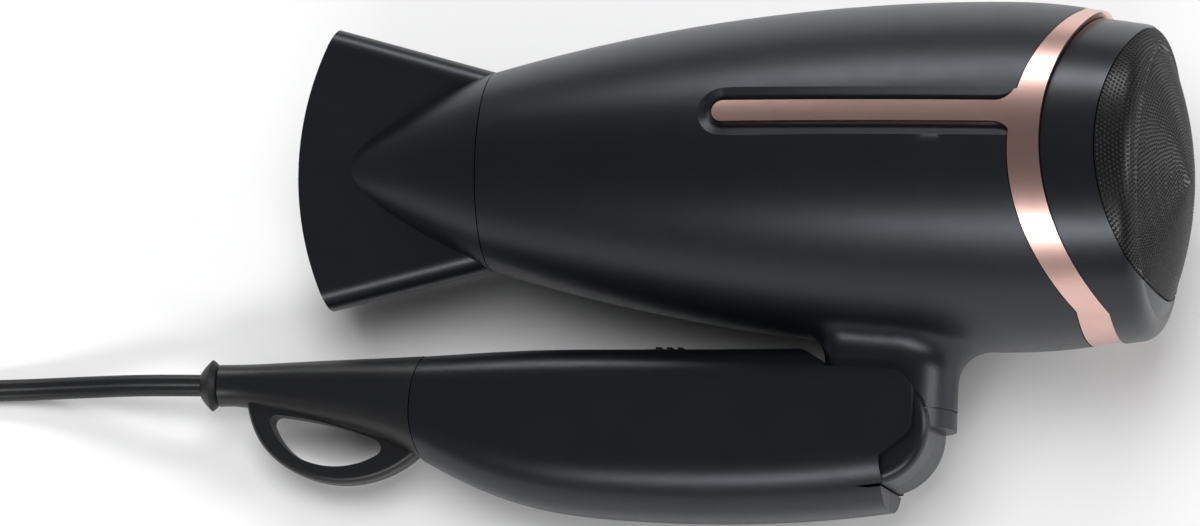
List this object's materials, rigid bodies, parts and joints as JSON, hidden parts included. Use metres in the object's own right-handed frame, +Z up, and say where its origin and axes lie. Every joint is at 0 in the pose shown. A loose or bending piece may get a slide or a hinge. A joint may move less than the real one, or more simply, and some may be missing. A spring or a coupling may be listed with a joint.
{
  "type": "travel hair dryer",
  "caption": "Folding travel hair dryer with fishtail nozzle, tapered barrel, metallic trim ring, domed mesh intake, folding handle with hanging loop and coiled flat mains cord.",
  "frame": {"origin": "centre of the dryer's footprint box on the table, without the cord", "axes": "the folded dryer rests on its side: +X runs from the nozzle to the intake, +Y from the handle to the barrel, +Z up"},
  "size_m": [0.4302, 0.1214, 0.0842],
  "materials": {
    "black_satin": "satin black moulded plastic with a faint pearl",
    "rear_satin": "semi-gloss black",
    "rose_gold": "satin rose-gold plating",
    "mesh_black": "fine embossed black mesh",
    "inner_black": "matt heat-proof plastic",
    "mica": "pale insulating board",
    "heater_wire": "resistance wire",
    "steel": "zinc-plated steel",
    "motor_can": "plated motor can",
    "fan_plastic": "dark glass-filled plastic",
    "ceramic": "white ceramic and plastic",
    "board": "brown paper laminate",
    "lead": "insulated lead",
    "cap_black": "matt black, slightly soft",
    "relief_rubber": "matt black rubber",
    "cord_black": "matt black twin cord sheath",
    "plug_black": "moulded black plug",
    "pin_plated": "nickel-plated brass",
    "tie": "black hook-and-loop strap"
  },
  "bodies": {
    "head": {"housing_near": "black_satin", "housing_far": "black_satin", "housing_screws": "steel", "trim_ring": "rose_gold", "rear_cover": "rear_satin", "intake_mesh": "mesh_black", "intake_frame": "inner_black", "outlet_grille": "inner_black", "heater_board_flat": "mica", "heater_board_upright": "mica", "heating_coils": "heater_wire", "heater_sleeve": "mica", "thermostat": "ceramic", "thermal_fuse": "steel", "motor_mount": "inner_black", "motor": "motor_can", "hinge_pin": "steel", "hinge_washers": "steel", "neck_leads": "lead"},
    "nozzle_clip": {"nozzle_clip_ring": "inner_black"},
    "nozzle": {"nozzle": "black_satin"},
    "rotor": {"motor_shaft": "steel", "impeller": "fan_plastic"},
    "handle": {"handle_near": "black_satin", "handle_far": "black_satin", "handle_screws": "steel", "switch_body": "inner_black", "circuit_board": "board", "selector_body": "inner_black", "cord_clamp": "inner_black", "supply_leads": "lead", "end_cap": "cap_black", "strain_relief": "relief_rubber", "cord_tube": "cord_black", "cord_coil": "cord_black", "coil_tie": "tie", "cord_tail": "cord_black", "plug_body": "plug_black", "plug_pins": "pin_plated"},
    "switch": {"switch_knob": "inner_black"},
    "dial": {"voltage_dial": "inner_black"}
  },
  "joints": [
    {"name": "handle_fold", "type": "hinge", "parent": "head", "child": "handle", "pos_m": [0.04584, -0.03823, 0.02414], "axis": [-0.0924, -0.2656, 0.9597], "range_deg": [0, 75]},
    {"name": "nozzle_turn", "type": "hinge", "parent": "head", "child": "nozzle_clip", "pos_m": [-0.04906, 0.01971, 0.03104], "axis": [0.9954, 0, 0.0958], "continuous": true},
    {"name": "nozzle_pull", "type": "slide", "parent": "nozzle_clip", "child": "nozzle", "axis": [-0.9954, 0, -0.0958], "range_m": [0, 0.012]},
    {"name": "fan_spin", "type": "hinge", "parent": "head", "child": "rotor", "pos_m": [-0.04906, 0.01971, 0.03104], "axis": [0.9954, 0, 0.0958], "continuous": true},
    {"name": "switch_slide", "type": "slide", "parent": "handle", "child": "switch", "axis": [0.9954, 0, 0.0958], "range_m": [0, 0.008]},
    {"name": "voltage_select", "type": "hinge", "parent": "handle", "child": "dial", "pos_m": [-0.03403, -0.02185, 0.02098], "axis": [-0.0255, 0.9641, 0.2643], "range_deg": [0, 90]}
  ]
}
